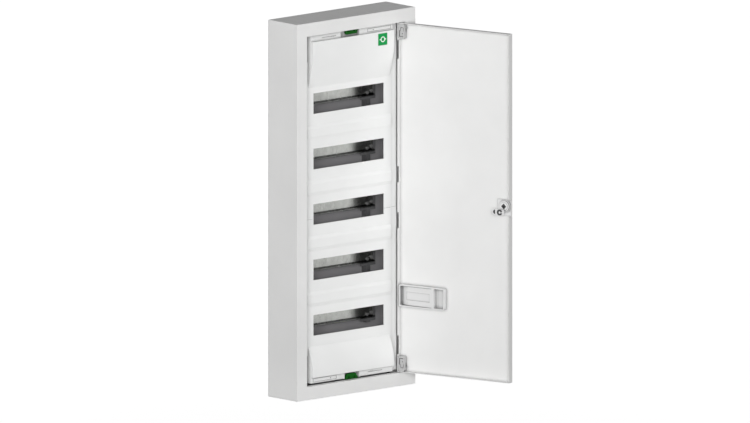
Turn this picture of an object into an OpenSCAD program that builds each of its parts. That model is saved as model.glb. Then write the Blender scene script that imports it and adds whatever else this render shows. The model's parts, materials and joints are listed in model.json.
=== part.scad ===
// Wall-mounted switchboard cabinet with an inset door, a two-part inner cover
// and five rows of mounting rail. Millimetres, +Z up, +Y towards the wall.
// The origin is the centre of the back face.

/* [Cabinet] */
// Outside width
cabinet_w = 355; // [355:1:355]
// Outside height
cabinet_h = 850; // [850:1:850]
// Outside depth, front border to wall
cabinet_d = 95; // [95:1:110]
// Sheet steel thickness
sheet = 1.2; // [1:0.1:1.5]
// Width of the front border around the door
border = 30; // [30:1:30]
// Depth of the lip folded inwards around the door opening
lip = 12; // [10:0.5:12.5]

/* [Door] */
// Gap between the door and the opening
door_gap = 1.5; // [1.2:0.1:1.8]
// Depth of the door's folded edges behind its skin
door_flange = 12.5; // [11:0.5:12.5]
// Angle at which the door stands open
open_angle = 106; // [0:1:112]
// Distance of the hinge axis from the door's edge
hinge_inset = 5.5; // [5.4:0.1:6]
// Depth of the hinge axis behind the front face
hinge_depth = 4.2; // [4:0.1:4.3]
// Hinge pin diameter
pin_d = 4; // [3:0.5:4]
// Travel of a hinge pin when it is drawn back
pin_travel = 8; // [6:0.5:8]

/* [Rails and windows] */
// Height between rows
row_pitch = 125; // [125:1:125]
// Height of the lowest row's centre above the cabinet's bottom
first_row = 161; // [158:0.1:165]
// Number of rows
rows = 5; // [5:1:5]
// Window width in the inner cover, 12 modules of 17.5 mm and play
window_w = 211.5; // [211:0.5:213]
// Window height in the inner cover
window_h = 46.5; // [45:0.1:47]
// Depth of the rail's front face behind the cabinet's front
rail_y = 69.5; // [68:0.5:72]
// Length of a rail
rail_len = 238; // [230:1:240]

/* [Inner cover] */
// Depth of the cover's flat face behind the cabinet's front
cover_y = 24.5; // [24:0.5:26]
// Depth of the raised end covers behind the cabinet's front
blister_y = 8; // [8:0.5:10]
// Depth of the latch strips behind the cabinet's front
strip_y = 14; // [13.5:0.5:15]
// Cover wall thickness
cover_t = 2; // [1.6:0.1:2.2]

/* [Hidden] */

$fn = 48;
eps = 0.01;
run_gap = 0.05;                      // radial running clearance
mid_x = cabinet_w / 2;
mid_z = cabinet_h / 2;
open_x0 = border;                    // the door opening
open_x1 = cabinet_w - border;
open_z0 = border;
open_z1 = cabinet_h - border;
door_x0 = open_x0 + door_gap;
door_x1 = open_x1 - door_gap;
door_z0 = open_z0 + door_gap;
door_z1 = open_z1 - door_gap;
door_w = door_x1 - door_x0;
hinge_x = door_x1 - hinge_inset;
back_y = cabinet_d - sheet;          // front of the rear sheet
row_z = [for (i = [0 : rows - 1]) first_row + i * row_pitch];
bend_r = 2.2;                        // outer radius of folded edges
fix_x = 270;                         // spacing of the wall-fixing holes
fix_z = 760;
fix_hole_d = 7;
cover_x0 = open_x0 + 3;
cover_x1 = open_x1 - 3;
cover_z0 = open_z0 + 3;
cover_z1 = open_z1 - 3;
cover_seam = 401;
margin = 18;                         // lowered border of the cover
margin_y = cover_y + 2.2;
blister_x0 = 55.7;
blister_x1 = cabinet_w - blister_x0;
strip_h = 13.5;
latch_w = 39;
latch_y = 17;                        // middle of the latch's plate
latch_travel = 4.5;
pocket_right = 22;                   // latch pocket's side walls from the middle
pocket_top_left = 36;                // the top pocket's left wall slopes inwards
pocket_h = 14.2;
upright_x = 70;                      // upright centre from either side
upright_w = 12;
rail_rise = 4.6;                       // rails sit this far above the windows' centres
rail_z = [for (z = row_z) z + rail_rise];
bracket_y = rail_y + 7.52;
upright_y = bracket_y + 1.52;
lock_t = 276;                        // lock axis from the door's hinge edge
lock_x = door_x1 - lock_t;
lock_z = 429;
rotor_d = 18;
bush_d = 5.8;
housing_w = 17;
housing_h = 34.5;
housing_d = 11.5;
pin_out = 6;                         // pin engagement in the frame's bush
lever_z = 11;                        // pin lever below the door's end
skin_y = sheet;                      // inner face of the door's skin when closed

// Coordinates below run from the cabinet's lower left front corner.
module from_corner() {
    translate([-cabinet_w / 2, -cabinet_d, -cabinet_h / 2]) children();
}
module on_door() {
    from_corner() translate([hinge_x, hinge_depth, 0]) rotate([0, 0, open_angle])
        translate([-hinge_x, -hinge_depth, 0]) children();
}
// Repeats the top end's pieces, mirrored, at the bottom.
module at_bottom() {
    translate([0, 0, cabinet_h]) mirror([0, 0, 1]) children();
}
module box(low, high) {
    translate(low) cube(high - low);
}
module round_rect(size, r) {
    for (x = [r, size[0] - r], y = [r, size[1] - r]) translate([x, y]) circle(r);
    translate([r, 0]) square([size[0] - 2 * r, size[1]]);
    translate([0, r]) square([size[0], size[1] - 2 * r]);
}
// Extrudes an X-Z outline along Y from y0 to y1.
module slab_y(y0, y1) {
    translate([0, y1, 0]) rotate([90, 0, 0]) linear_extrude(y1 - y0) children();
}
// Extrudes a Y-Z outline along X from x0 to x1.
module slab_x(x0, x1) {
    translate([x0, 0, 0]) rotate([90, 0, 90]) linear_extrude(x1 - x0) children();
}
// A screw along -Y, its head's underside at the origin.
module screw_y(d, head_d, head_h, len) {
    rotate([90, 0, 0]) difference() {
        union() {
            cylinder(d = head_d, h = head_h);
            translate([0, 0, -len]) cylinder(d = d, h = len + eps);
        }
        for (a = [0, 90]) rotate([0, 0, a])
            translate([-head_d * 0.32, -head_d * 0.06, head_h * 0.45]) cube([head_d * 0.64, head_d * 0.12, head_h]);
    }
}

module shell_outline(inset) {
    r = bend_r - inset;
    translate([inset, inset]) round_rect([cabinet_w - 2 * inset, cabinet_h - 2 * inset], max(r, 0.4));
}
module enclosure_shell() {
    color("gainsboro") from_corner() difference() {
        slab_y(0, back_y - eps) shell_outline(0);
        slab_y(sheet, back_y + 1) shell_outline(sheet);
        box([open_x0, -1, open_z0], [open_x1, sheet + 1, open_z1]);
        gland_opening();
        for (x = [-106, 106], y = gland_screw_y) translate([mid_x + x, y, -1]) cylinder(d = 4.4, h = 4);
    }
    color("gainsboro") from_corner() difference() {
        box([open_x0 - sheet, sheet - eps, open_z0 - sheet], [open_x1 + sheet, lip, open_z1 + sheet]);
        box([open_x0, -1, open_z0], [open_x1, lip + 1, open_z1]);
        for (z = [-1, open_z1 - 1]) translate([hinge_x, hinge_depth, z])
            cylinder(d = bush_d + 0.1, h = open_z0 + 3);
    }
}
module gland_opening() {
    box([mid_x - 100, gland_y - 20, -1], [mid_x + 100, gland_y + 20, sheet + 1]);
}
module back_panel() {
    color("gainsboro") from_corner() difference() {
        union() {
            slab_y(back_y, cabinet_d) shell_outline(0);
            for (x = [sheet, cabinet_w - 2 * sheet])
                box([x + (x < mid_x ? 0.05 : -0.05), back_y - 10, 12],
                    [x + sheet + (x < mid_x ? 0.05 : -0.05), back_y + eps, cabinet_h - 12]);
        }
        for (x = [-1, 1], z = [-1, 1]) translate([mid_x + x * fix_x / 2, cabinet_d + 1, mid_z + z * fix_z / 2])
            rotate([90, 0, 0]) cylinder(d = fix_hole_d, h = sheet + 2);
        for (x = [upright_x, cabinet_w - upright_x], z = upright_fix) translate([x, cabinet_d + 1, z])
            rotate([90, 0, 0]) cylinder(d = 5, h = sheet + 2);
    }
}

gland_x = [-66, -22, 22, 66];
gland_y = 62;
gland_screw_y = [gland_y - 24, gland_y + 24];
module gland_plate() {
    color("lightgrey") from_corner() difference() {
        box([mid_x - 112, gland_y - 28, sheet], [mid_x + 112, gland_y + 28, sheet + 2]);
        for (x = gland_x) translate([mid_x + x, gland_y, 0]) cylinder(d = 26, h = 5);
        for (x = [-106, 106], y = gland_screw_y) translate([mid_x + x, y, 0]) cylinder(d = 4.4, h = 5);
    }
}
module gland_screws() {
    color("silver") from_corner() for (x = [-106, 106], y = gland_screw_y)
        translate([mid_x + x, y, sheet + 2]) {
            cylinder(d = 8, h = 2.6);
            translate([0, 0, -2]) cylinder(d = 4, h = 2 + eps);
        }
}
module cable_grommets() {
    color("dimgrey") from_corner() for (x = gland_x) translate([mid_x + x, gland_y, sheet + 1]) rotate_extrude()
        polygon([[0, 2.2], [9, 2.2], [9, -2], [12.9, -2], [12.9, 1], [15.5, 1], [15.5, 3.2],
            [12.5, 4.2], [0, 4.2]]);
}

module upright(x) {
    color("silver") from_corner() difference() {
        box([x - upright_w / 2, upright_y, row_z[0] - 24], [x + upright_w / 2, back_y, row_z[4] + 40]);
        box([x - upright_w / 2 + 1.5, upright_y + 1.5, 0], [x + upright_w / 2 - 1.5, back_y - 1.5, cabinet_h]);
        for (z = rail_z) translate([x, upright_y - 1, z + bracket_fix_z]) rotate([-90, 0, 0]) cylinder(d = 5, h = 4);
        for (z = upright_fix) translate([x, back_y - 3, z]) rotate([-90, 0, 0]) cylinder(d = 5, h = 4);
        for (z = upright_fix) translate([x, upright_y - 1, z]) rotate([-90, 0, 0]) cylinder(d = 9, h = 4);
    }
}
upright_fix = [row_z[0] + 62, row_z[3] + 62];
module chassis_upright_left() { upright(upright_x); }
module chassis_upright_right() { upright(cabinet_w - upright_x); }
module upright_screws() {
    color("silver") from_corner() for (x = [upright_x, cabinet_w - upright_x], z = upright_fix)
        translate([x, back_y - 1.5, z]) screw_y(4.8, 8, 3, 2.6);
}
// Screws that hold a rail on its bracket, from the upright's centre line.
rail_fix = [[-6.5, -9.8], [5.5, -6.5]];
bracket_fix_z = 21;
upright_dx = mid_x - upright_x;
module rail_brackets() {
    color("dimgrey") from_corner() for (s = [-1, 1], z = rail_z) translate([mid_x + s * upright_dx, 0, z])
        mirror([s < 0 ? 1 : 0, 0, 0]) difference() {
            box([-24, bracket_y, -25], [20, upright_y - 0.02, 25]);
            for (p = concat(rail_fix, [[0, bracket_fix_z], [5.5, 2], [13, -14], [13, 14]]))
                translate([p[0], bracket_y - 1, p[1]]) rotate([-90, 0, 0]) cylinder(d = 4.6, h = 4);
        }
}
module rail_screws() {
    color("silver") from_corner() for (s = [-1, 1], z = rail_z) translate([mid_x + s * upright_dx, 0, z]) {
        for (p = rail_fix) translate([s * p[0], rail_y + 6.48, p[1]]) screw_y(4.4, 7, 2.4, 2.4);
        translate([0, bracket_y - 0.02, bracket_fix_z]) screw_y(4.4, 7, 2.4, 3);
    }
}
module din_rail(i) {
    z = rail_z[rows - i];
    color("silver") from_corner() difference() {
        slab_x(mid_x - rail_len / 2, mid_x + rail_len / 2) translate([rail_y, z - 17.5]) polygon([
            [0, 1.2], [1.2, 0], [2, 0], [2, 3], [7.5, 3], [7.5, 32], [2, 32], [2, 35], [1.2, 35], [0, 33.8],
            [0, 31], [6.5, 31], [6.5, 4], [0, 4]]);
        for (s = [-1, 1], p = rail_fix) translate([mid_x + s * (upright_dx + p[0]), rail_y + 4, z + p[1]])
            rotate([-90, 0, 0]) cylinder(d = 4.6, h = 4);
    }
}
module din_rail_1() { din_rail(1); }
module din_rail_2() { din_rail(2); }
module din_rail_3() { din_rail(3); }
module din_rail_4() { din_rail(4); }
module din_rail_5() { din_rail(5); }

// Terminal bars: brass bars on two insulating feet behind the raised end covers.
bar_y = 50;
bar_ways = 16;
module bar(z) {
    color("goldenrod") from_corner() difference() {
        box([mid_x - 88, bar_y, z - 4.5], [mid_x + 88, bar_y + 9, z + 4.5]);
        for (k = [0 : bar_ways - 1]) translate([mid_x - 75 + k * 10, bar_y - 1, z]) {
            rotate([-90, 0, 0]) cylinder(d = 4.2, h = 6);
            translate([0, 5.5, -6]) cylinder(d = 5, h = 12);
        }
        for (x = [-83, 83]) translate([mid_x + x, bar_y - 1, z]) rotate([-90, 0, 0]) cylinder(d = 4.4, h = 12);
    }
}
module bar_supports(z, tint) {
    color(tint) from_corner() for (x = [-83, 83]) translate([mid_x + x, 0, z]) difference() {
        union() {
            box([-7, bar_y + 9, -9], [7, back_y, 9]);
            box([-11, back_y - 4, -14], [11, back_y, 14]);
        }
        translate([0, bar_y + 8, 0]) rotate([-90, 0, 0]) cylinder(d = 4.2, h = 16);
    }
}
module bar_screws(z) {
    color("silver") from_corner() {
        for (k = [0 : bar_ways - 1]) translate([mid_x - 75 + k * 10, bar_y - 1, z]) screw_y(4.1, 6, 2.2, 3.6);
        for (x = [-83, 83]) translate([mid_x + x, bar_y, z]) screw_y(4.1, 7.5, 2.6, 22);
    }
}
neutral_z = cabinet_h - 75;
earth_z = 75;
module neutral_bar() { bar(neutral_z); }
module neutral_supports() { bar_supports(neutral_z, "steelblue"); }
module neutral_screws() { bar_screws(neutral_z); }
module earth_bar() { bar(earth_z); }
module earth_supports() { bar_supports(earth_z, "olive"); }
module earth_screws() { bar_screws(earth_z); }

stud_x = 44;
module earth_stud() {
    color("silver") from_corner() translate([stud_x, back_y, 60]) rotate([90, 0, 0]) cylinder(d = 6, h = 22);
}
module earth_washer() {
    color("silver") from_corner() translate([stud_x, back_y - 4, 60]) rotate([90, 0, 0]) difference() {
        cylinder(d = 12, h = 1.4);
        translate([0, 0, -1]) cylinder(d = 6.4, h = 4);
    }
}
module earth_nut() {
    color("silver") from_corner() translate([stud_x, back_y - 5.4, 60]) rotate([90, 0, 0]) difference() {
        cylinder(d = 11.5, h = 5, $fn = 6);
        translate([0, 0, -1]) cylinder(d = 6.1, h = 7);
    }
}

// Inner cover. Each end has a raised cover whose face slopes back to the flat.
top_flat = 40;                       // cover edge to the end of the flat face
top_foot = 119;                      // cover edge to the foot of its slope
top_bow = 1.5;                       // 1 is a straight slope, more bulges it near the foot
bottom_flat = 16;
bottom_foot = 81;
bottom_bow = 2;
band_rise = 2;                       // raised bands between the windows
band_slope = 8;
raised_x0 = cover_x0 + margin;
raised_x1 = cover_x1 - margin;
// Outline of a raised end at the top, in Y and Z, moved back by t.
function end_outline(edge, flat, foot, bow, t) = concat(
    [for (k = [0 : 12]) let (u = k / 12)
        [blister_y + t + (cover_y - blister_y) * pow(1 - u, bow), edge - foot + (foot - flat) * u]],
    [[blister_y + t, edge - strip_h - t], [cover_y + 9, edge - strip_h - t], [cover_y + 9, edge - foot]]);
module end_skin(flat, foot, bow, left) {
    difference() {
        union() {
            slab_x(blister_x0, blister_x1) difference() {
                polygon(end_outline(cover_z1, flat, foot, bow, 0));
                translate([cover_y + cover_t, 0]) square([20, cabinet_h]);
            }
            box([blister_x0, strip_y, cover_z1 - strip_h - cover_t - 1],
                [blister_x1, cover_y + cover_t, cover_z1]);
        }
        slab_x(blister_x0 + cover_t, blister_x1 - cover_t)
            polygon(end_outline(cover_z1, flat, foot, bow, cover_t));
        box([blister_x0 + cover_t, strip_y + cover_t, cover_z1 - strip_h - 2 * cover_t],
            [blister_x1 - cover_t, cover_y + 9, cover_z1 - cover_t]);
        latch_cut(left);
        strip_marks();
    }
    latch_pocket(left);
}
// Engraved groove, maker's window and locating holes in the strip's face.
module strip_marks() {
    translate([mid_x, strip_y, cover_z1]) {
        box([-90, -1, -8], [-48, 1.3, -6.2]);
        for (x = [-60.5, -55.5]) box([x - 1.4, -1, -9], [x + 1.4, 1.5, -6.4]);
        difference() {
            box([46.5, -1, -11.2], [117, 0.9, -2.4]);
            box([47.8, -2, -9.9], [115.7, 1, -3.7]);
        }
        translate([64, 0, -6.8]) rotate([-90, 0, 0]) translate([0, 0, -1]) cylinder(d = 2.6, h = 5);
    }
}
module latch_cut(left) {
    box([mid_x - left - 1, strip_y - 1, cover_z1 - pocket_h],
        [mid_x + pocket_right + 1, cover_y + 9, cover_z1 + 1]);
}
module latch_pocket(left) {
    difference() {
        box([mid_x - left - cover_t, strip_y, cover_z1 - pocket_h - cover_t],
            [mid_x + pocket_right + cover_t, 24, cover_z1 + 1]);
        translate([mid_x, 0, cover_z1 - pocket_h]) linear_extrude(pocket_h + 2) polygon([
            [-left, strip_y - 1], [pocket_right, strip_y - 1], [pocket_right - 1, 22], [-pocket_right + 1, 22]]);
        box([mid_x - 4.3, 0, cover_z1 - 6.4 - latch_travel], [mid_x + 4.3, 30, cover_z1 - 1.6]);
    }
}
module bands(t) {
    for (i = [1 : rows - 1]) slab_x(raised_x0 + t, raised_x1 - t) polygon([
        [cover_y + t, row_z[i] - 48.5 - t / 4], [cover_y - band_rise + t, row_z[i] - 48.5 - band_slope - t / 4],
        [cover_y - band_rise + t, row_z[i] - 82.5 + band_slope + t / 4], [cover_y + t, row_z[i] - 82.5 + t / 4],
        [cover_y + t + 0.5, row_z[i] - 82.5 + t / 4], [cover_y + t + 0.5, row_z[i] - 48.5 - t / 4]]);
}
module cover_whole() {
    difference() {
        union() {
            box([cover_x0, margin_y, cover_z0], [cover_x1, margin_y + cover_t, cover_z1]);
            box([raised_x0, cover_y, cover_z0 + 60], [raised_x1, margin_y + cover_t, cover_z1 - 60]);
            bands(0);
        }
        box([raised_x0 + cover_t, cover_y + cover_t, cover_z0 + 60 + cover_t],
            [raised_x1 - cover_t, margin_y + 9, cover_z1 - 60 - cover_t]);
        bands(cover_t);
        box([blister_x0 + cover_t, cover_y - 1, cover_z1 - top_foot + 1],
            [blister_x1 - cover_t, margin_y + 9, cover_z1 - cover_t]);
        box([blister_x0 + cover_t, cover_y - 1, cover_z0 + cover_t],
            [blister_x1 - cover_t, margin_y + 9, cover_z0 + bottom_foot - 1]);
        for (z = row_z)
            box([mid_x - window_w / 2, cover_y - 9, z - window_h / 2],
                [mid_x + window_w / 2, margin_y + 9, z + window_h / 2]);
        latch_cut(pocket_top_left);
        at_bottom() latch_cut(pocket_right);
    }
    end_skin(top_flat, top_foot, top_bow, pocket_top_left);
    at_bottom() translate([cabinet_w, 0, 0]) mirror([1, 0, 0])
        end_skin(bottom_flat, bottom_foot, bottom_bow, pocket_right);
}
module cover_upper() {
    color("whitesmoke") from_corner() intersection() {
        cover_whole();
        box([0, 0, cover_seam + 0.2], [cabinet_w, cabinet_d, cabinet_h]);
    }
}
module cover_lower() {
    color("whitesmoke") from_corner() intersection() {
        cover_whole();
        box([0, 0, 0], [cabinet_w, cabinet_d, cover_seam - 0.2]);
    }
}
catch_y = 27.2;
module catch_top() {
    box([mid_x - 14, catch_y, cover_z1 + 5], [mid_x + 14, catch_y + 2, cabinet_h - sheet]);
    box([mid_x - 14, catch_y - 12, cabinet_h - sheet - 2], [mid_x + 14, catch_y + 2, cabinet_h - sheet]);
}
module cover_catches() {
    color("silver") from_corner() {
        catch_top();
        at_bottom() catch_top();
    }
}
// A latch slides away from the cover's edge to free its hook from the catch.
module cover_latch(depth, taper) {
    translate([mid_x, 0, cover_z1]) {
        difference() {
            slab_y(latch_y - 2, latch_y + 3) polygon([
                [-latch_w / 2, 3], [latch_w / 2, 3], [latch_w / 2 - taper, -depth], [-latch_w / 2 + taper, -depth]]);
            slab_y(latch_y - 3, latch_y + 1.5) for (x = [-8.5, 8.5]) translate([x, 0.2]) circle(3.6);
        }
        box([-4, latch_y + 2.9, -6], [4, 31.1, -2]);
        box([-5, 31, -6], [5, 34, 9]);
    }
}
module cover_latch_top() { color("green") from_corner() cover_latch(9.2, 4); }
module cover_latch_bottom() { color("green") from_corner() at_bottom() cover_latch(9.3, 7); }
label_size = 26.5;
label_at = [251, 773];
module label_plate() {
    color("seagreen") from_corner() slab_y(blister_y - 0.7, blister_y - 0.02)
        translate(label_at) round_rect([label_size, label_size], 1);
}
module label_mark() {
    color("white") from_corner() slab_y(blister_y - 0.95, blister_y - 0.72)
        translate([label_at[0] + label_size / 2, label_at[1] + label_size / 2]) {
            difference() {
                circle(6.4);
                circle(4.4);
            }
            translate([-9.5, -1]) square([4, 2]);
            translate([5.5, -1]) square([4, 2]);
        }
}

// Hinge. The pins slide along the hinge axis in the door's housings.
module bush_top() {
    translate([hinge_x, hinge_depth, open_z1]) difference() {
        union() {
            translate([0, 0, 0.1]) cylinder(d = bush_d, h = 8);
            translate([0, 0, sheet + 0.1]) intersection() {
                cylinder(d = 9, h = 1.5);
                translate([-5, sheet + 0.1 - hinge_depth, -1]) cube([10, 10, 4]);
            }
        }
        translate([0, 0, -1]) cylinder(r = pin_d / 2 + run_gap, h = 12);
    }
}
module hinge_bushes() {
    color("whitesmoke") from_corner() {
        bush_top();
        at_bottom() bush_top();
    }
}
housing_x0 = door_x1 - housing_w;
housing_x1 = door_x1 - sheet - 0.1;
housing_z1 = door_z1 - sheet - 0.1;
stud_z = [5, 30];
slot_z = [lever_z + 9.8, lever_z - 1.8];
module housing_top() {
    difference() {
        slab_y(skin_y + 0.02, skin_y + housing_d) difference() {
            translate([housing_x0, housing_z1 - housing_h])
                round_rect([housing_x1 - housing_x0, housing_h], 4);
        }
        translate([hinge_x, hinge_depth, 0]) cylinder(r = pin_d / 2 + run_gap, h = cabinet_h);
        translate([hinge_x, hinge_depth, housing_z1 - housing_h + 4]) cylinder(d = 6.4, h = housing_h - 8);
        box([housing_x0 - 1, hinge_depth - 1.8, door_z1 - slot_z[0]],
            [hinge_x, hinge_depth + 1.8, door_z1 - slot_z[1]]);
        for (z = stud_z) translate([housing_x0 + 3.2, 0, housing_z1 - z]) rotate([-90, 0, 0])
            cylinder(d = 3.2, h = 10);
        translate([housing_x0, 0, housing_z1]) face_slots();
    }
}
// Slots around the two snap tongues in the housing's face, from its upper corner.
module face_slots() {
    slab_y(skin_y + housing_d - 3.2, skin_y + housing_d + 1) {
        translate([10.8, -30]) square([1.9, 15]);
        translate([2.2, -30]) square([10, 1.7]);
        difference() {
            translate([1.6, -18]) round_rect([8, 10], 2.5);
            translate([2.8, -19]) round_rect([5.6, 9.8], 1.6);
        }
        translate([4.2, -22]) circle(1.1);
    }
}
module hinge_housing_top() { color("gainsboro") on_door() housing_top(); }
module hinge_housing_bottom() { color("gainsboro") on_door() at_bottom() housing_top(); }
module studs_top() {
    for (z = stud_z) translate([housing_x0 + 3.2, 0, housing_z1 - z]) rotate([-90, 0, 0]) {
        translate([0, 0, skin_y]) cylinder(d = 3, h = 8.4);
    }
}
module hinge_rivets() {
    color("silver") on_door() {
        studs_top();
        at_bottom() studs_top();
    }
}
spring_z0 = housing_z1 - housing_h + 4.1;
spring_z1 = door_z1 - lever_z - 3.7;
spring_turns = 8;
spring_r = 2.5;
wire_r = 0.35;
spring_steps = spring_turns * 12;
function coil_point(k, a) = let (
    turn = 360 * k / 12,
    radius = spring_r + wire_r * cos(a),
    rise = spring_z0 + wire_r + (spring_z1 - spring_z0 - 2 * wire_r) * k / spring_steps)
    [radius * cos(turn), radius * sin(turn), rise + wire_r * sin(a)];
module spring_top() {
    sides = 6;
    last = spring_steps * sides;
    translate([hinge_x, hinge_depth, 0]) polyhedron(
        points = [for (k = [0 : spring_steps], s = [0 : sides - 1]) coil_point(k, -s * 360 / sides)],
        faces = concat(
            [for (k = [0 : spring_steps - 1], s = [0 : sides - 1])
                [k * sides + s, k * sides + (s + 1) % sides, (k + 1) * sides + (s + 1) % sides, (k + 1) * sides + s]],
            [[for (s = [sides - 1 : -1 : 0]) s], [for (s = [0 : sides - 1]) last + s]]),
        convexity = 8);
}
module hinge_spring_top() { color("silver") on_door() spring_top(); }
module hinge_spring_bottom() { color("silver") on_door() at_bottom() spring_top(); }
module pin_top() {
    low = door_z1 - 27;
    translate([hinge_x, hinge_depth, low]) cylinder(d = pin_d, h = open_z1 + pin_out - low);
    translate([hinge_x, hinge_depth, door_z1 - lever_z - 3.6]) cylinder(d = 5.8, h = 1.6);
    translate([hinge_x, hinge_depth, door_z1 - lever_z]) rotate([0, -90, 0]) cylinder(d = 3, h = 15.5);
}
module hinge_pin_top() { color("dimgrey") on_door() pin_top(); }
module hinge_pin_bottom() { color("dimgrey") on_door() at_bottom() pin_top(); }

module door_outline(inset) {
    translate([door_x0 + inset, door_z0 + inset])
        round_rect([door_w - 2 * inset, door_z1 - door_z0 - 2 * inset], max(1.6 - inset, 0.4));
}
module door_panel() {
    color("gainsboro") on_door() difference() {
        slab_y(0, sheet + door_flange) door_outline(0);
        slab_y(sheet, sheet + door_flange + 1) door_outline(sheet);
        for (s = [-1, 1]) for (run = [[33.8, 69.7], [312, 354]])
            box([door_x1 - 3, sheet + door_flange - 6, min(mid_z + s * run[0], mid_z + s * run[1])],
                [door_x1 + 1, sheet + door_flange + 1, max(mid_z + s * run[0], mid_z + s * run[1])]);
        translate([hinge_x, hinge_depth, 0]) cylinder(d = pin_d + 1, h = cabinet_h);
        translate([lock_x, -1, lock_z]) rotate([-90, 0, 0]) cylinder(d = 20.3, h = 4);
        // notch in the fold, through which the cam passes
        box([door_x0 - 1, sheet + 3.5, lock_z - 22.5], [door_x0 + 2.5, sheet + door_flange + 1, lock_z + 15.5]);
    }
}

// Lock. A square key turns the rotor, whose cranked cam hooks behind the lip.
module at_lock() {
    on_door() translate([lock_x, 0, lock_z]) rotate([-90, 0, 0]) children();
}
module tube(outer, inner, z0, z1) {
    translate([0, 0, z0]) difference() {
        cylinder(d = outer, h = z1 - z0);
        translate([0, 0, -1]) cylinder(d = inner, h = z1 - z0 + 2);
    }
}
module lock_housing() {
    color("gainsboro") at_lock() {
        tube(30, rotor_d + 2 * run_gap, -2.4, -0.02);
        tube(20, rotor_d + 2 * run_gap, -0.03, 7.2);
    }
}
plate_x = [-14.3, 22.5];                // the plate stops short of the door's fold
plate_z = [-14.7, 22.3];
module lock_plate() {
    color("gainsboro") at_lock() {
        difference() {
            translate([plate_x[0], plate_z[0], sheet + 0.02]) linear_extrude(1.8)
                round_rect([plate_x[1] - plate_x[0], plate_z[1] - plate_z[0]], 1.5);
            translate([plate_x[0] + 1.3, plate_z[0] + 1.3, sheet + 1.2]) linear_extrude(1.8)
                round_rect([plate_x[1] - plate_x[0] - 2.6, plate_z[1] - plate_z[0] - 2.6], 1);
            translate([0, 0, -1]) cylinder(d = 20.1, h = 9);
        }
        tube(28, 20.1, sheet + 1, 5.6);
    }
}
key_w = 9.4;
module key_hole(size, z0, z1) {
    rotate([0, 0, 45]) translate([-size / 2, -size / 2, z0]) cube([size, size, z1 - z0]);
}
module lock_rotor() {
    color("gainsboro") at_lock() difference() {
        translate([0, 0, -1.6]) cylinder(d = rotor_d, h = 12.6);
        key_hole(key_w, -2, 12);
    }
}
module lock_insert() {
    color("dimgrey") at_lock() difference() {
        key_hole(key_w - 0.04, -1, 10.4);
        key_hole(6.2, -2, 4);
        key_hole(6.2, 5.4, 11);
    }
}
cam_y = [6.5, 19];                   // the cam's plate lies below the rotor's axis
cam_x = [-4, 26];
cam_z = 14.9;
module pad_outline() {
    translate([18.5, (cam_y[0] + cam_y[1]) / 2]) intersection() {
        circle(5);
        translate([0, -6]) square([6, 12]);
    }
}
module lock_cam() {
    color("gainsboro") at_lock() {
        tube(24, rotor_d + 0.04, 7.7, 9.7);
        box([-4, 9.6, 7.7], [4, 11.4, cam_z + 0.1]);
        translate([0, 0, cam_z]) linear_extrude(2.2) difference() {
            translate([cam_x[0], cam_y[0]]) round_rect([cam_x[1] - cam_x[0], cam_y[1] - cam_y[0]], 2.5);
            pad_outline();
        }
        translate([5.6, 13, cam_z + 2.1]) cylinder(d = 5, h = 2);
    }
}
module lock_pad() {
    color("dimgrey") at_lock() translate([0, 0, 14.2]) linear_extrude(3.1) pad_outline();
}
module lock_ring() {
    color("dimgrey") at_lock() translate([6.4, 13, cam_z + 2.22]) linear_extrude(1.6) difference() {
        circle(6.4);
        circle(3.2);
        translate([-8, -2]) square([6, 4]);
    }
}

// Document clip: a rimmed tray with a sprung tongue, t from the hinge edge.
clip_t0 = 3.2;
clip_w = 119.2;
clip_h = 50;
clip_z = 179.5;
clip_d = 12.5;
module document_clip() {
    rim_y = skin_y + clip_d;
    color("whitesmoke") on_door() translate([door_x1, 0, clip_z]) mirror([1, 0, 0]) {
        difference() {
            slab_y(skin_y + 0.02, rim_y) translate([clip_t0, 0]) round_rect([clip_w, clip_h], 6);
            slab_y(skin_y + 1.6, rim_y + 1) {
                translate([clip_t0 + 2.5, 3]) round_rect([90.7 - clip_t0 - 2.5, clip_h - 6], 4);
                translate([94.7, 3]) round_rect([clip_t0 + clip_w - 97.7, clip_h - 6], 2);
            }
        }
        difference() {
            translate([0, 0, 4]) linear_extrude(clip_h - 8) polygon([
                [7, skin_y + 1.5], [13, rim_y - 6], [26, rim_y - 2.4], [90.8, rim_y],
                [90.8, rim_y - 1.9], [26, rim_y - 4.4], [16, rim_y - 7.4], [11, skin_y + 1.5]]);
            translate([22, rim_y - 4.2, 15.5]) rotate([0, 0, 2.1]) cube([62, 8, 19]);
        }
        translate([21, rim_y - 6.2, 14.5]) rotate([0, 0, 2.1]) cube([64, 2, 21]);
        translate([0, 0, 3]) linear_extrude(clip_h - 6) polygon([
            [99.5, skin_y + 1.5], [114.5, skin_y + 5.8], [116.5, skin_y + 5.8], [116.5, skin_y + 1.5]]);
    }
}

enclosure_shell();
back_panel();
gland_plate();
gland_screws();
cable_grommets();
chassis_upright_left();
chassis_upright_right();
upright_screws();
rail_brackets();
rail_screws();
din_rail_1();
din_rail_2();
din_rail_3();
din_rail_4();
din_rail_5();
neutral_bar();
neutral_supports();
neutral_screws();
earth_bar();
earth_supports();
earth_screws();
earth_stud();
earth_nut();
earth_washer();
cover_upper();
cover_lower();
cover_catches();
label_plate();
label_mark();
cover_latch_top();
cover_latch_bottom();
hinge_bushes();
door_panel();
hinge_housing_top();
hinge_housing_bottom();
hinge_rivets();
hinge_spring_top();
hinge_spring_bottom();
hinge_pin_top();
hinge_pin_bottom();
lock_housing();
lock_plate();
lock_rotor();
lock_insert();
lock_cam();
lock_pad();
lock_ring();
document_clip();
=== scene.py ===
"""Looks of the switchboard cabinet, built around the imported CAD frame. Metres, +Z up, +Y into the wall."""
import json
import math

import bmesh
import bpy
from mathutils import Matrix, Vector


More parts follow.
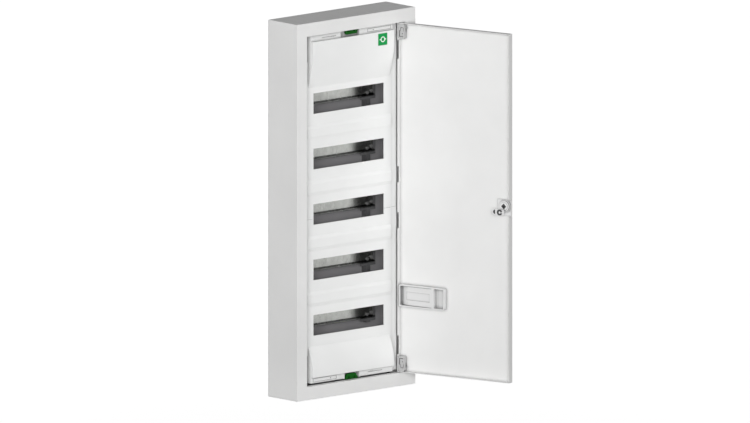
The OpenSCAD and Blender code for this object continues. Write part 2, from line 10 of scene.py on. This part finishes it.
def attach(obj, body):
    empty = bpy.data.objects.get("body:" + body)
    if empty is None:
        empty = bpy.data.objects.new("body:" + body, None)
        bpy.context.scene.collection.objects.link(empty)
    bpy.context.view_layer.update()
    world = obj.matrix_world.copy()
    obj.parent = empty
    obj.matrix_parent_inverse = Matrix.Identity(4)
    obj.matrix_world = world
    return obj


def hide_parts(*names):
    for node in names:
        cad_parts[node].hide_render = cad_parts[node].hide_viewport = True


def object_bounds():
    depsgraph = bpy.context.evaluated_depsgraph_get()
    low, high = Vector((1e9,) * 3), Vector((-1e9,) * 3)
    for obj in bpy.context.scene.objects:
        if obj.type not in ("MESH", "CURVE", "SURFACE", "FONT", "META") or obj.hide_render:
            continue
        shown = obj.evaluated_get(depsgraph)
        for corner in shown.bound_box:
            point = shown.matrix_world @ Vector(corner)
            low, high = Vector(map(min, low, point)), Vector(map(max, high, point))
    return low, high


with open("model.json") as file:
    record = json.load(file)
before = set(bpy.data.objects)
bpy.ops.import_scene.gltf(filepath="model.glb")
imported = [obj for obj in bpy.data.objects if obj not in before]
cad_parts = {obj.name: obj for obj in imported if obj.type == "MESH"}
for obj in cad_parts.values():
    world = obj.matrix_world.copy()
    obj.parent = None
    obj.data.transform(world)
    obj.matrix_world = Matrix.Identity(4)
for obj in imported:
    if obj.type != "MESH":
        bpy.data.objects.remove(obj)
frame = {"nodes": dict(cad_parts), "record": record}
cad_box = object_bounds()
NODES = frame["nodes"]

# Camera: a parallel view from the front left, a little above.
VIEW_AZIMUTH = math.radians(42.2)
VIEW_ELEVATION = math.radians(9.86)
VIEW_WIDTH = 1.6665
AIM_RIGHT = 0.1057
AIM_UP = -0.0279
VIEW_DISTANCE = 3.0
VIEW_DEPTH = 50


def make_camera():
    sa, ca = math.sin(VIEW_AZIMUTH), math.cos(VIEW_AZIMUTH)
    se, ce = math.sin(VIEW_ELEVATION), math.cos(VIEW_ELEVATION)
    right = Vector((ca, -sa, 0))
    up = Vector((se * sa, se * ca, ce))
    back = right.cross(up)
    data = bpy.data.cameras.new("view_camera")
    data.type = "ORTHO"
    data.ortho_scale = VIEW_WIDTH
    data.clip_end = VIEW_DEPTH
    camera = bpy.data.objects.new("view_camera", data)
    bpy.context.scene.collection.objects.link(camera)
    turn = Matrix((right, up, back)).transposed().to_4x4()
    camera.matrix_world = Matrix.Translation(right * AIM_RIGHT + up * AIM_UP + back * VIEW_DISTANCE) @ turn
    bpy.context.scene.camera = camera


# ---------------------------------------------------------------- materials
CORNER_SAMPLES = 12
GREEN_SHINE = 0.2                     # less than the usual half, which keeps the greens deep


def new_material(name):
    material = bpy.data.materials.new(name)
    material.use_nodes = True
    tree = material.node_tree
    shader = tree.nodes["Principled BSDF"]
    return material, tree, shader


def noise(tree, scale, detail=3.0, roughness=0.5, stretch=None):
    """A noise texture in the object's own metres; stretch scales it per axis."""
    where = tree.nodes.new("ShaderNodeTexCoord")
    texture = tree.nodes.new("ShaderNodeTexNoise")
    texture.inputs["Scale"].default_value = scale
    texture.inputs["Detail"].default_value = detail
    texture.inputs["Roughness"].default_value = roughness
    source = where.outputs["Object"]
    if stretch:
        mapping = tree.nodes.new("ShaderNodeMapping")
        mapping.inputs["Scale"].default_value = stretch
        tree.links.new(source, mapping.inputs["Vector"])
        source = mapping.outputs["Vector"]
    tree.links.new(source, texture.inputs["Vector"])
    return texture.outputs["Fac"]


def ramp(tree, source, stops):
    """A colour ramp; stops are (place, colour) with colour a grey number or an RGB tuple."""
    node = tree.nodes.new("ShaderNodeValToRGB")
    elements = node.color_ramp.elements
    while len(elements) < len(stops):
        elements.new(0.5)
    for element, (place, colour) in zip(elements, stops):
        element.position = place
        rgb = (colour,) * 3 if isinstance(colour, (int, float)) else colour
        element.color = (*rgb, 1)
    tree.links.new(source, node.inputs["Fac"])
    return node.outputs["Color"]


def bump(tree, shader, height, strength, distance):
    node = tree.nodes.new("ShaderNodeBump")
    node.inputs["Strength"].default_value = strength
    node.inputs["Distance"].default_value = distance
    tree.links.new(height, node.inputs["Height"])
    tree.links.new(node.outputs["Normal"], shader.inputs["Normal"])


def tint(colour, share):
    return tuple(min(1.0, c * share) for c in colour)


def mixed(tree, way, factor, first, second):
    """Mixes two colours; factor is a number or a socket."""
    mix = tree.nodes.new("ShaderNodeMix")
    mix.data_type = "RGBA"
    mix.blend_type = way
    if isinstance(factor, (int, float)):
        mix.inputs["Factor"].default_value = factor
    else:
        tree.links.new(factor, mix.inputs["Factor"])
    tree.links.new(first, mix.inputs["A"])
    tree.links.new(second, mix.inputs["B"])
    return mix.outputs["Result"]


def along(tree, axis, start, span, repeat=False):
    """How far a point lies along an axis: 0 at start, 1 after span, in metres; repeats each span if asked."""
    where = tree.nodes.new("ShaderNodeTexCoord")
    parts = tree.nodes.new("ShaderNodeSeparateXYZ")
    tree.links.new(where.outputs["Object"], parts.inputs["Vector"])
    value = parts.outputs[axis]
    for operation, amount in (("SUBTRACT", start), ("DIVIDE", span)):
        step = tree.nodes.new("ShaderNodeMath")
        step.operation = operation
        step.inputs[1].default_value = amount
        tree.links.new(value, step.inputs[0])
        value = step.outputs[0]
    if repeat:
        step = tree.nodes.new("ShaderNodeMath")
        step.operation = "FRACT"
        tree.links.new(value, step.inputs[0])
        value = step.outputs[0]
    return value


def paint_corner_shade(tree, shades, amount, reach):
    """Paints shade into the colour: darkens it by up to amount in corners, grooves and narrow gaps, where
    shade falls.
    """
    closeness = tree.nodes.new("ShaderNodeAmbientOcclusion")
    closeness.samples = CORNER_SAMPLES
    closeness.inputs["Distance"].default_value = reach
    corner_shade_mask = ramp(tree, closeness.outputs["AO"], [(0.15, 1 - amount), (0.95, 1.0)])
    return mixed(tree, "MULTIPLY", 1.0, shades, corner_shade_mask)


def surface(name, colour, roughness, metallic=0.0, cloud=(7.0, 0.03), gloss=(60.0, 0.06),
            grain=(1800.0, 0.12, 0.00012), stretch=None, shade_in_corners=0.0, reach=0.007):
    """One finish. cloud and gloss are a noise scale and its spread in colour and in roughness, and grain
    is a noise scale with the strength and depth of its bump. The argument before reach is painted shade:
    how much the colour is darkened in corners and in gaps narrower than reach."""
    material, tree, shader = new_material(name)
    shader.inputs["Metallic"].default_value = metallic
    scale, spread = cloud
    shades = ramp(tree, noise(tree, scale, 4.0),
                  [(0.3, tint(colour, 1 - spread)), (0.7, tint(colour, 1 + spread))])
    # Painted shade: the colour darkens in corners and narrow gaps
    if shade_in_corners:
        shades = paint_corner_shade(tree, shades, shade_in_corners, reach)
    tree.links.new(shades, shader.inputs["Base Color"])
    scale, spread = gloss
    mottle = ramp(tree, noise(tree, scale, 3.0, 0.6, stretch),
                  [(0.3, roughness - spread), (0.7, roughness + spread)])
    tree.links.new(mottle, shader.inputs["Roughness"])
    scale, strength, distance = grain
    bump(tree, shader, noise(tree, scale, 2.0, 0.6, stretch), strength, distance)
    return material


WHITE_PAINT = (0.80, 0.80, 0.795)
# Grains that several finishes share
POWDER_COAT = (1500, 0.25, 0.00010)
FINE_MOULDING = (2600, 0.12, 0.00006)
PRINTED = (3000, 0.05, 0.00004)
# The corner amounts passed below are painted shade in corners and gaps, not dust
MATERIALS = {
    "painted_steel": surface("powder_coat_body", WHITE_PAINT, 0.42, grain=POWDER_COAT, shade_in_corners=0.45),
    # The door's paint is the body's paint made 3% darker: painted shade for the open door's inner skin
    "painted_door": surface("powder_coat_door_painted_shade", tint(WHITE_PAINT, 0.97), 0.42, grain=POWDER_COAT, shade_in_corners=0.5),
    # Dark grey inside of the rear sheet: painted shade for the cabinet's inside behind the cover
    "rear_grey": surface("rear_painted_shade", (0.235, 0.23, 0.238), 0.5, cloud=(12, 0.06),
                         grain=(1500, 0.2, 0.00008)),
    "zinc": surface("bright_zinc", (0.60, 0.61, 0.62), 0.30, 1.0, cloud=(120, 0.10), gloss=(300, 0.10)),
    "galvanised": surface("galvanised_sheet", (0.56, 0.57, 0.55), 0.24, 1.0, cloud=(90, 0.10),
                          gloss=(220, 0.06), stretch=(1, 1, 0.15)),
    "dull_zinc": surface("dull_zinc", (0.24, 0.24, 0.24), 0.5, 0.7),
    "cover_plastic": surface("moulded_cover", (0.84, 0.845, 0.84), 0.48, grain=(2600, 0.18, 0.00008),
                             shade_in_corners=0.88, reach=0.012),
    "clip_plastic": surface("moulded_clip", (0.69, 0.69, 0.69), 0.5, grain=(2600, 0.10, 0.00006),
                            shade_in_corners=0.85, reach=0.009),
    "hinge_plastic": surface("moulded_hinge", (0.46, 0.46, 0.46), 0.42, grain=FINE_MOULDING, shade_in_corners=0.85),
    "lock_grey": surface("painted_lock", (0.74, 0.74, 0.74), 0.42, grain=FINE_MOULDING, shade_in_corners=0.95),
    # Near black: a dark finish made darker still as painted shade for the uprights and brackets behind the
    # cover
    "dark_steel": surface("dark_chassis", (0.075, 0.075, 0.077), 0.5, cloud=(60, 0.15)),
    "black_plastic": surface("black_plastic", (0.055, 0.055, 0.056), 0.45, grain=FINE_MOULDING),
    "green_plastic": surface("green_latch", (0.003, 0.092, 0.005), 0.6, grain=(2600, 0.10, 0.00006),
                             shade_in_corners=0.6),
    "label_green": surface("label_green", (0.003, 0.30, 0.065), 0.40, grain=PRINTED),
    "label_white": surface("label_white", (0.90, 0.93, 0.90), 0.40, grain=PRINTED),
    "brass": surface("drawn_brass", (0.70, 0.52, 0.22), 0.30, 1.0, cloud=(60, 0.12), stretch=(0.1, 1, 1)),
    "blue_plastic": surface("blue_insulator", (0.05, 0.16, 0.42), 0.42),
    "green_yellow_plastic": surface("green_yellow_insulator", (0.30, 0.42, 0.06), 0.42),
    "grommet_rubber": surface("moulded_rubber", (0.05, 0.05, 0.052), 0.62, grain=(2200, 0.3, 0.0001)),
}
for green in ("green_plastic", "label_green"):
    green_shader = MATERIALS[green].node_tree.nodes["Principled BSDF"]
    green_shader.inputs["Specular IOR Level"].default_value = GREEN_SHINE
SLOT_OF = {part["node"]: part["material_slot"] for part in frame["record"]["subparts"]}
BODY_OF = {node: body for body, nodes in frame["record"]["behaviour"]["bodies"].items() for node in nodes}


def lower_edge(node):
    return min(vertex.co.z for vertex in NODES[node].data.vertices)


# Lower edge of the lowest rail and the distance between rails, then where the shade at their right ends
# starts and how far it takes to deepen
RAIL_LOW = lower_edge("din_rail_5")
RAIL_PITCH = lower_edge("din_rail_4") - RAIL_LOW
SHADE_START = 0.045
SHADE_SPAN = 0.060


def rail_with_painted_shade():
    """Galvanised rail with painted shade: darker towards its right end, where it lies in shade, and a dark
    line of painted shade just above its lower edge. The line's stops are shares of the distance between
    rails."""
    material = MATERIALS["galvanised"].copy()
    material.name = "galvanised_rail_painted_shade"
    tree = material.node_tree
    shader = tree.nodes["Principled BSDF"]
    shades = shader.inputs["Base Color"].links[0].from_socket
    # Painted shade: a dark line above each rail's lower edge, then darkening towards the right ends
    painted_brim_shade = ramp(tree, along(tree, "Z", RAIL_LOW, RAIL_PITCH, True),
                [(0.0, 1.0), (0.014, 0.9), (0.018, 0.10), (0.036, 0.10), (0.040, 1.0)])
    painted_end_shade = ramp(tree, along(tree, "X", SHADE_START, SHADE_SPAN), [(0.0, 1.0), (0.7, 0.40)])
    shades = mixed(tree, "MULTIPLY", 1.0, shades, painted_brim_shade)
    shades = mixed(tree, "MULTIPLY", 1.0, shades, painted_end_shade)
    tree.links.new(shades, shader.inputs["Base Color"])
    return material


# The rear sheet's paint begins this far in front of its outer face, over this depth.
REAR_PAINT_START = -0.0009
REAR_PAINT_SPAN = 0.0006


def paint_rear_shade():
    """The rear sheet is painted like the body on its outside; its inside is dark grey, painted shade for the
    inside of the cabinet.
    """
    tree = MATERIALS["rear_grey"].node_tree
    shader = tree.nodes["Principled BSDF"]
    painted_shade_inside = shader.inputs["Base Color"].links[0].from_socket
    outside = ramp(tree, noise(tree, 7.0, 4.0), [(0.3, tint(WHITE_PAINT, 0.97)), (0.7, WHITE_PAINT)])
    share = ramp(tree, along(tree, "Y", REAR_PAINT_START, REAR_PAINT_SPAN), [(0.0, 0.0), (1.0, 1.0)])
    tree.links.new(mixed(tree, "MIX", share, painted_shade_inside, outside), shader.inputs["Base Color"])


def paint(obj, slot):
    obj.data.materials.clear()
    obj.data.materials.append(MATERIALS[slot])


# ---------------------------------------------------------------- refined CAD shapes
MERGE_DISTANCE = 1e-6
FLAT_ANGLE = 1.0                      # faces that turn less than this are joined into one
BEVEL_SEGMENTS = 2
BEVEL_ANGLE = 28.0                    # edges that turn less than this are not rounded
SHARP_ANGLE = 35.0                    # edges that turn more than this are shaded as sharp
COVER_SHARP_ANGLE = 6.0               # keeps the cover's shallow slopes crisp


def shade_by_angle(mesh, degrees):
    for polygon in mesh.polygons:
        polygon.use_smooth = True
    mesh.set_sharp_from_angle(angle=math.radians(degrees))


def refined(node, edge, sharp):
    """The node's own shape with its edges rounded, as a new piece that stands for the node."""
    mesh = NODES[node].data.copy()
    work = bmesh.new()
    work.from_mesh(mesh)
    bmesh.ops.remove_doubles(work, verts=work.verts, dist=MERGE_DISTANCE)
    flat = math.radians(FLAT_ANGLE)
    bmesh.ops.dissolve_limit(work, angle_limit=flat, verts=work.verts, edges=work.edges)
    work.to_mesh(mesh)
    work.free()
    mesh.name = node + "_shape"
    piece = bpy.data.objects.new(node + "_finished", mesh)
    bpy.context.scene.collection.objects.link(piece)
    rounding = piece.modifiers.new("rounded_edges", "BEVEL")
    rounding.width = edge
    rounding.segments = BEVEL_SEGMENTS
    rounding.limit_method = "ANGLE"
    rounding.angle_limit = math.radians(BEVEL_ANGLE)
    rounding.use_clamp_overlap = True
    shade_by_angle(mesh, sharp)
    flattening = piece.modifiers.new("even_shading", "WEIGHTED_NORMAL")
    flattening.keep_sharp = True
    paint(piece, SLOT_OF[node])
    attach(piece, BODY_OF[node])
    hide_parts(node)


# Width of each node's rounded edges
EDGES = {
    "enclosure_shell": 0.0009, "back_panel": 0.0004, "door_panel": 0.0007,
    "cover_upper": 0.0008, "cover_lower": 0.0008, "document_clip": 0.0006,
    "hinge_housing_top": 0.0005, "hinge_housing_bottom": 0.0005,
    "lock_plate": 0.0004, "lock_housing": 0.0004, "lock_cam": 0.0005, "lock_rotor": 0.0003,
    "cover_latch_top": 0.0010, "cover_latch_bottom": 0.0010,
    "rail_brackets": 0.0003, "neutral_supports": 0.0006, "earth_supports": 0.0006,
}

make_camera()
for cad_name, cad_node in NODES.items():
    paint(cad_node, SLOT_OF[cad_name])
for edge_node, edge_width in EDGES.items():
    refined(edge_node, edge_width, COVER_SHARP_ANGLE if edge_node.startswith("cover_") else SHARP_ANGLE)
paint_rear_shade()
paint(NODES["rail_screws"], "dull_zinc")
MATERIALS["rail"] = rail_with_painted_shade()
for number in range(1, 6):
    paint(NODES["din_rail_%d" % number], "rail")


# ---------------------------------------------------------------- stage
FLOOR_DROP = 0.6                      # the floor lies this far below the cabinet, which hangs on a wall
FLOOR_HALF = 12.0
FLOOR_GLOW = 0.75
KEY_STRENGTH = 3.55
KEY_AZIMUTH = -42.0
KEY_ELEVATION = 8.0
KEY_SOFTNESS = 38.0
AMBIENT = 0.145
REFLECTED = 0.47


def make_stage():
    mesh = bpy.data.meshes.new("floor")
    corners = [(x * FLOOR_HALF, y * FLOOR_HALF, 0) for x, y in ((-1, -1), (1, -1), (1, 1), (-1, 1))]
    mesh.from_pydata(corners, [], [(0, 1, 2, 3)])
    floor = bpy.data.objects.new("floor", mesh)
    bpy.context.scene.collection.objects.link(floor)
    floor.location = (0, 0, cad_box[0][2] - FLOOR_DROP)
    floor.visible_diffuse = False
    floor.visible_glossy = False
    material, tree, shader = new_material("pale_floor")
    shader.inputs["Roughness"].default_value = 0.9
    shader.inputs["Emission Strength"].default_value = FLOOR_GLOW
    shader.inputs["Emission Color"].default_value = (1, 1, 1, 1)
    tone = ramp(tree, noise(tree, 0.8), [(0.3, 0.80), (0.7, 0.82)])
    tree.links.new(tone, shader.inputs["Base Color"])
    mesh.materials.append(material)


def add_sun(name, strength, azimuth, elevation, softness):
    """A soft distant light that comes from the given compass and height, in degrees."""
    data = bpy.data.lights.new(name, "SUN")
    data.energy = strength
    data.angle = math.radians(softness)
    light = bpy.data.objects.new(name, data)
    bpy.context.scene.collection.objects.link(light)
    a, e = math.radians(azimuth), math.radians(elevation)
    towards = Vector((math.sin(a) * math.cos(e), -math.cos(a) * math.cos(e), math.sin(e)))
    light.rotation_euler = towards.to_track_quat("Z", "Y").to_euler()


def make_world():
    """A white surround to look at, which lights the object only faintly."""
    world = bpy.data.worlds.new("studio")
    bpy.context.scene.world = world
    world.use_nodes = True
    tree = world.node_tree
    background = tree.nodes["Background"]
    background.inputs["Color"].default_value = (1, 1, 1, 1)
    rays = tree.nodes.new("ShaderNodeLightPath")
    glossy = tree.nodes.new("ShaderNodeMapRange")
    glossy.inputs["To Min"].default_value = AMBIENT
    glossy.inputs["To Max"].default_value = REFLECTED
    tree.links.new(rays.outputs["Is Glossy Ray"], glossy.inputs["Value"])
    strength = tree.nodes.new("ShaderNodeMapRange")
    strength.inputs["To Max"].default_value = 1.0
    tree.links.new(rays.outputs["Is Camera Ray"], strength.inputs["Value"])
    tree.links.new(glossy.outputs["Result"], strength.inputs["To Min"])
    tree.links.new(strength.outputs["Result"], background.inputs["Strength"])


make_stage()
make_world()
add_sun("key", KEY_STRENGTH, KEY_AZIMUTH, KEY_ELEVATION, KEY_SOFTNESS)
bpy.context.scene.view_settings.view_transform = "Standard"
